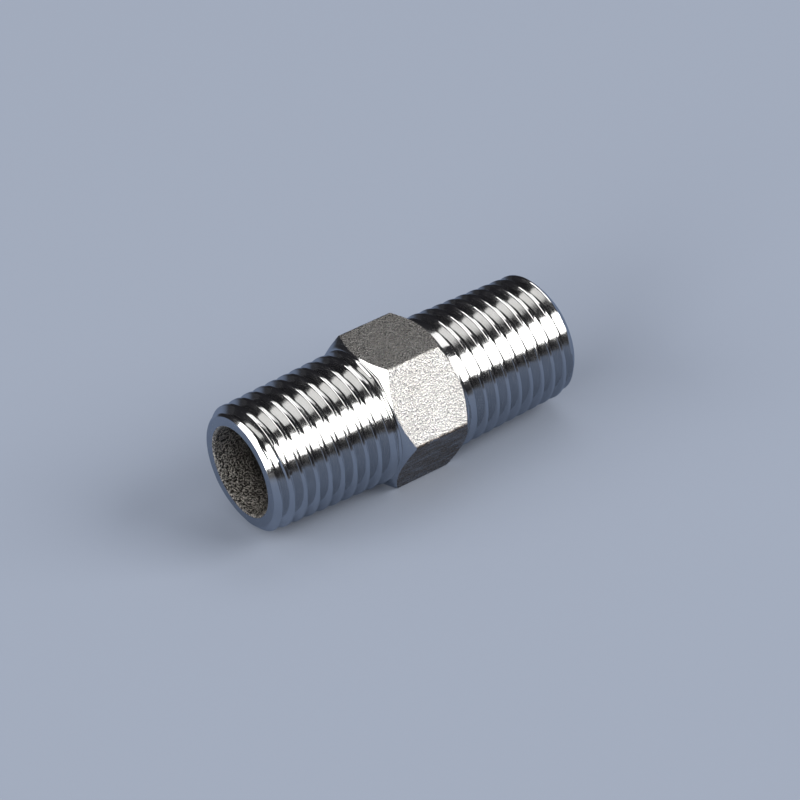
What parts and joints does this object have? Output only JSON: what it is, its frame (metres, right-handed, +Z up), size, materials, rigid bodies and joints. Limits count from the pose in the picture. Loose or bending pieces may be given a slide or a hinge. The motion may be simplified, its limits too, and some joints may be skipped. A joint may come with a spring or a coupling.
{
  "type": "hex nipple",
  "caption": "Cast stainless steel hex nipple: a wrench hexagon between two male taper pipe threads, with a straight through bore.",
  "frame": {"origin": "on the bore axis at mid-length, in the middle of the hexagon", "axes": "+X along the bore, +Z up, square to the hexagon's top flat"},
  "size_m": [0.036, 0.016, 0.014],
  "materials": {
    "cast_stainless": "investment-cast skin, fine blasted grain, satin",
    "turned_stainless": "turned and threaded, bright, with faint tool lines"
  },
  "bodies": {
    "root": {"hex_body": "cast_stainless", "threaded_end_left": "turned_stainless", "threaded_end_right": "turned_stainless"}
  },
  "joints": []
}
